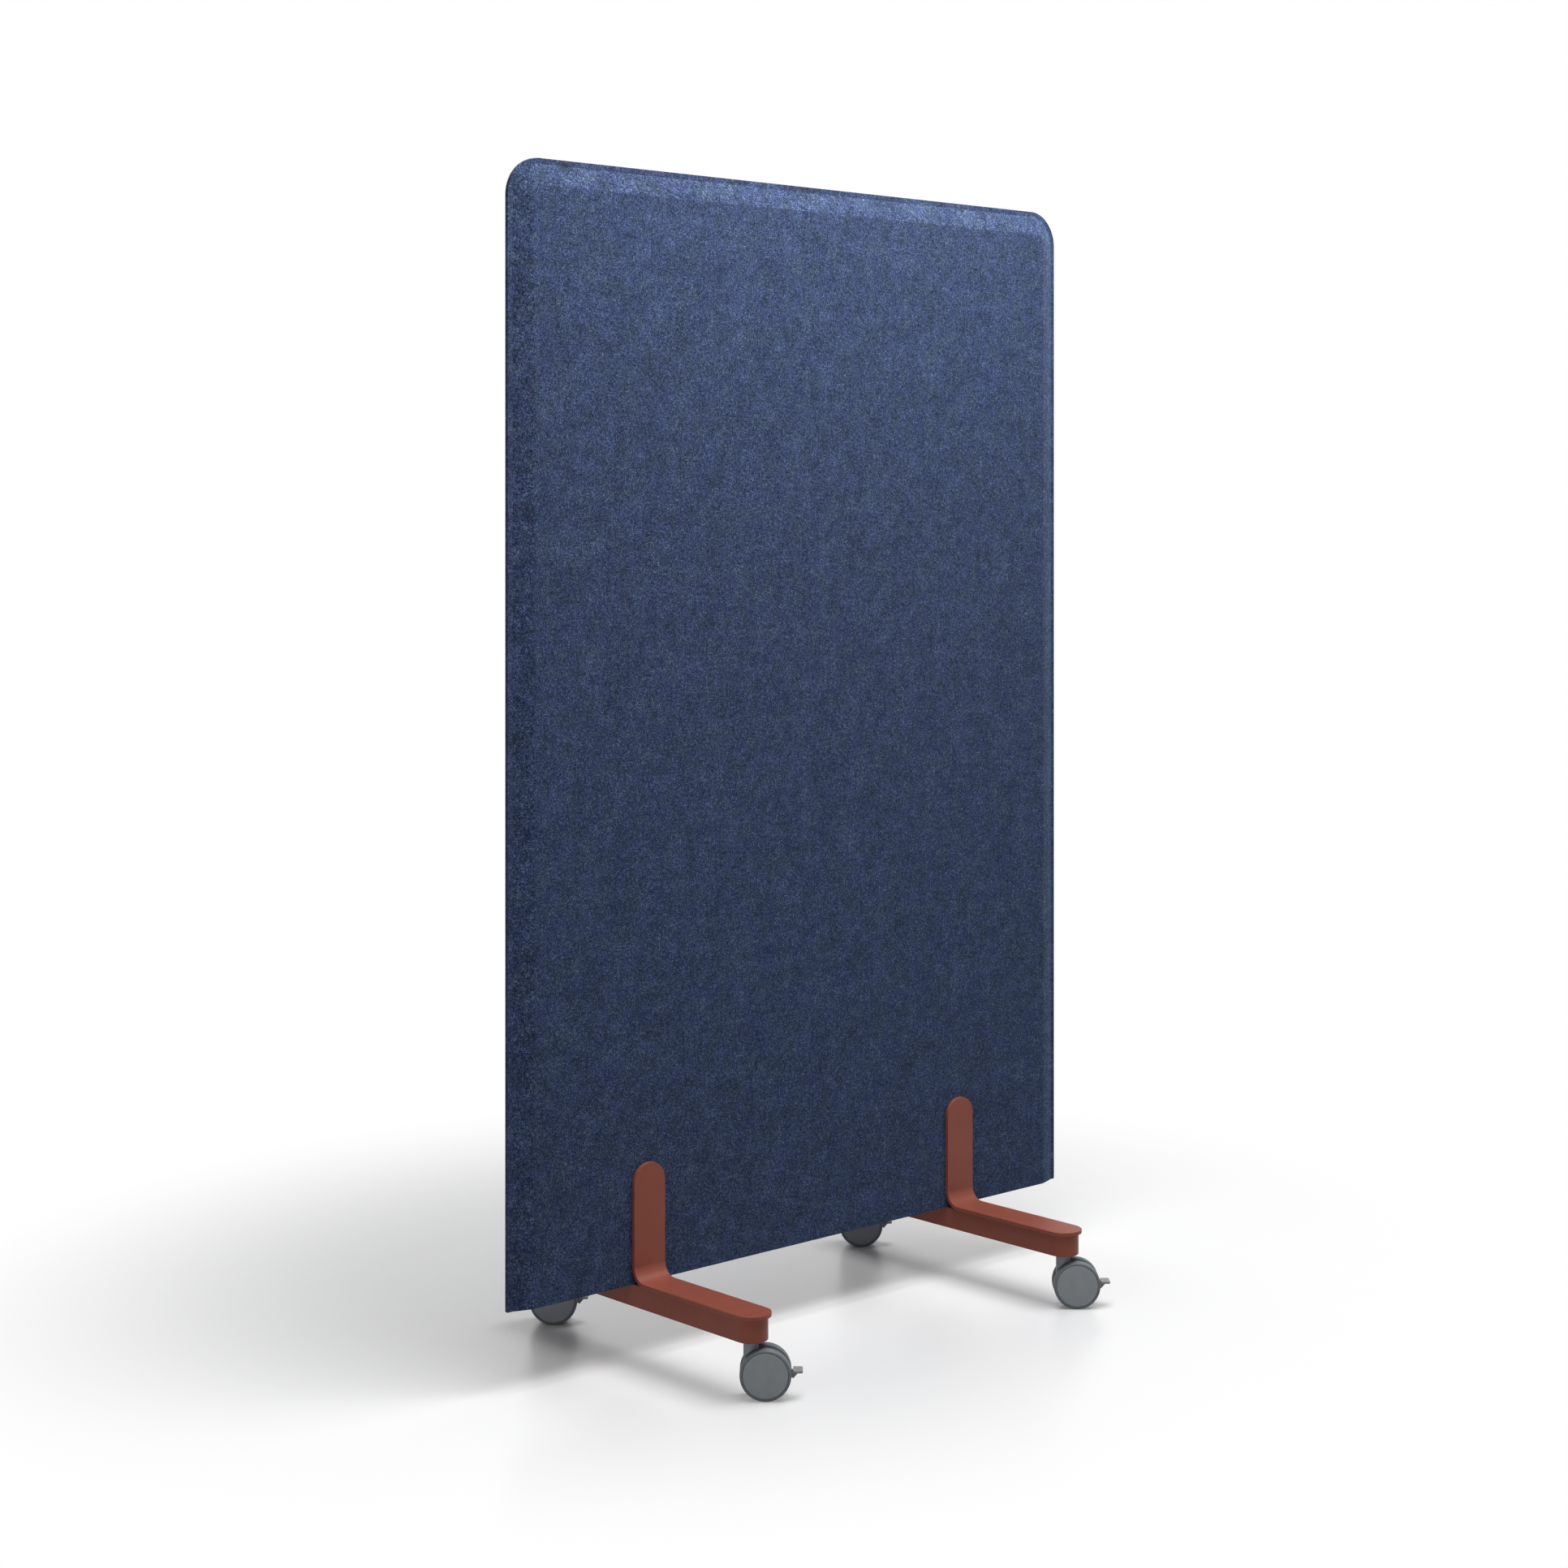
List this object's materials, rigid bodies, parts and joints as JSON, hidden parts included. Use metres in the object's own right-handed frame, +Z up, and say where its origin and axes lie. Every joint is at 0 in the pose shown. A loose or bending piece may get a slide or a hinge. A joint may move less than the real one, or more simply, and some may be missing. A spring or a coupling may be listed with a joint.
{
  "type": "rolling partition",
  "caption": "Free-standing felt-clad partition panel with rounded top corners on two bar feet with bent plate brackets and braked twin-wheel castors.",
  "frame": {"origin": "on the floor, under the middle of the panel's width and midway between the front and rear tyres' contact with the floor; the panel's middle plane lies 14 mm behind it", "axes": "+Z up, +X to the right along the panel's width, front felt face towards -Y"},
  "size_m": [1.18, 0.5881, 1.8],
  "materials": {
    "felt": "matte",
    "timber": "matte",
    "core": "matte",
    "painted_metal": "matte",
    "zinc": "satin",
    "castor_plastic": "satin",
    "tread": "matte",
    "pedal_plastic": "matte"
  },
  "bodies": {
    "partition": {"front_felt_shell": "felt", "rear_felt_shell": "felt", "left_stile": "timber", "right_stile": "timber", "top_rail": "timber", "bottom_rail": "timber", "acoustic_core": "core", "left_foot_bar": "painted_metal", "left_front_bracket": "painted_metal", "left_front_inner_nut": "zinc", "left_front_outer_nut": "zinc", "left_rear_bracket": "painted_metal", "left_rear_inner_nut": "zinc", "left_rear_outer_nut": "zinc", "right_foot_bar": "painted_metal", "right_front_bracket": "painted_metal", "right_front_inner_nut": "zinc", "right_front_outer_nut": "zinc", "right_rear_bracket": "painted_metal", "right_rear_inner_nut": "zinc", "right_rear_outer_nut": "zinc", "front_left_castor_stem": "zinc", "rear_left_castor_stem": "zinc", "front_right_castor_stem": "zinc", "rear_right_castor_stem": "zinc"},
    "front_left_castor_swivel": {"front_left_castor_body": "castor_plastic", "front_left_castor_axle": "zinc"},
    "front_left_castor_wheel_1": {"front_left_castor_wheel_1": "castor_plastic", "front_left_castor_tyre_1": "tread"},
    "front_left_castor_wheel_2": {"front_left_castor_wheel_2": "castor_plastic", "front_left_castor_tyre_2": "tread"},
    "front_left_castor_pedal": {"front_left_castor_pedal": "pedal_plastic"},
    "rear_left_castor_swivel": {"rear_left_castor_body": "castor_plastic", "rear_left_castor_axle": "zinc"},
    "rear_left_castor_wheel_1": {"rear_left_castor_wheel_1": "castor_plastic", "rear_left_castor_tyre_1": "tread"},
    "rear_left_castor_wheel_2": {"rear_left_castor_wheel_2": "castor_plastic", "rear_left_castor_tyre_2": "tread"},
    "rear_left_castor_pedal": {"rear_left_castor_pedal": "pedal_plastic"},
    "front_right_castor_swivel": {"front_right_castor_body": "castor_plastic", "front_right_castor_axle": "zinc"},
    "front_right_castor_wheel_1": {"front_right_castor_wheel_1": "castor_plastic", "front_right_castor_tyre_1": "tread"},
    "front_right_castor_wheel_2": {"front_right_castor_wheel_2": "castor_plastic", "front_right_castor_tyre_2": "tread"},
    "front_right_castor_pedal": {"front_right_castor_pedal": "pedal_plastic"},
    "rear_right_castor_swivel": {"rear_right_castor_body": "castor_plastic", "rear_right_castor_axle": "zinc"},
    "rear_right_castor_wheel_1": {"rear_right_castor_wheel_1": "castor_plastic", "rear_right_castor_tyre_1": "tread"},
    "rear_right_castor_wheel_2": {"rear_right_castor_wheel_2": "castor_plastic", "rear_right_castor_tyre_2": "tread"},
    "rear_right_castor_pedal": {"rear_right_castor_pedal": "pedal_plastic"}
  },
  "joints": [
    {"name": "front_left_castor_swivel_turn", "type": "hinge", "parent": "partition", "child": "front_left_castor_swivel", "pos_m": [-0.337, -0.23585, 0.0831], "axis": [0, 0, 1], "continuous": true},
    {"name": "front_left_castor_wheel_1_spin", "type": "hinge", "parent": "front_left_castor_swivel", "child": "front_left_castor_wheel_1", "pos_m": [-0.32148, -0.25, 0.0375], "axis": [0.6738, 0.7389, 0], "continuous": true},
    {"name": "front_left_castor_wheel_2_spin", "type": "hinge", "parent": "front_left_castor_swivel", "child": "front_left_castor_wheel_2", "pos_m": [-0.32148, -0.25, 0.0375], "axis": [0.6738, 0.7389, 0], "continuous": true},
    {"name": "front_left_castor_brake_press", "type": "hinge", "parent": "front_left_castor_swivel", "child": "front_left_castor_pedal", "pos_m": [-0.30449, -0.2655, 0.0445], "axis": [0.6738, 0.7389, 0], "range_deg": [0, 12]},
    {"name": "rear_left_castor_swivel_turn", "type": "hinge", "parent": "partition", "child": "rear_left_castor_swivel", "pos_m": [-0.337, 0.26415, 0.0831], "axis": [0, 0, 1], "continuous": true},
    {"name": "rear_left_castor_wheel_1_spin", "type": "hinge", "parent": "rear_left_castor_swivel", "child": "rear_left_castor_wheel_1", "pos_m": [-0.32148, 0.25, 0.0375], "axis": [0.6738, 0.7389, 0], "continuous": true},
    {"name": "rear_left_castor_wheel_2_spin", "type": "hinge", "parent": "rear_left_castor_swivel", "child": "rear_left_castor_wheel_2", "pos_m": [-0.32148, 0.25, 0.0375], "axis": [0.6738, 0.7389, 0], "continuous": true},
    {"name": "rear_left_castor_brake_press", "type": "hinge", "parent": "rear_left_castor_swivel", "child": "rear_left_castor_pedal", "pos_m": [-0.30449, 0.2345, 0.0445], "axis": [0.6738, 0.7389, 0], "range_deg": [0, 12]},
    {"name": "front_right_castor_swivel_turn", "type": "hinge", "parent": "partition", "child": "front_right_castor_swivel", "pos_m": [0.337, -0.23585, 0.0831], "axis": [0, 0, 1], "continuous": true},
    {"name": "front_right_castor_wheel_1_spin", "type": "hinge", "parent": "front_right_castor_swivel", "child": "front_right_castor_wheel_1", "pos_m": [0.35252, -0.25, 0.0375], "axis": [0.6738, 0.7389, 0], "continuous": true},
    {"name": "front_right_castor_wheel_2_spin", "type": "hinge", "parent": "front_right_castor_swivel", "child": "front_right_castor_wheel_2", "pos_m": [0.35252, -0.25, 0.0375], "axis": [0.6738, 0.7389, 0], "continuous": true},
    {"name": "front_right_castor_brake_press", "type": "hinge", "parent": "front_right_castor_swivel", "child": "front_right_castor_pedal", "pos_m": [0.36951, -0.2655, 0.0445], "axis": [0.6738, 0.7389, 0], "range_deg": [0, 12]},
    {"name": "rear_right_castor_swivel_turn", "type": "hinge", "parent": "partition", "child": "rear_right_castor_swivel", "pos_m": [0.337, 0.26415, 0.0831], "axis": [0, 0, 1], "continuous": true},
    {"name": "rear_right_castor_wheel_1_spin", "type": "hinge", "parent": "rear_right_castor_swivel", "child": "rear_right_castor_wheel_1", "pos_m": [0.35252, 0.25, 0.0375], "axis": [0.6738, 0.7389, 0], "continuous": true},
    {"name": "rear_right_castor_wheel_2_spin", "type": "hinge", "parent": "rear_right_castor_swivel", "child": "rear_right_castor_wheel_2", "pos_m": [0.35252, 0.25, 0.0375], "axis": [0.6738, 0.7389, 0], "continuous": true},
    {"name": "rear_right_castor_brake_press", "type": "hinge", "parent": "rear_right_castor_swivel", "child": "rear_right_castor_pedal", "pos_m": [0.36951, 0.2345, 0.0445], "axis": [0.6738, 0.7389, 0], "range_deg": [0, 12]}
  ]
}
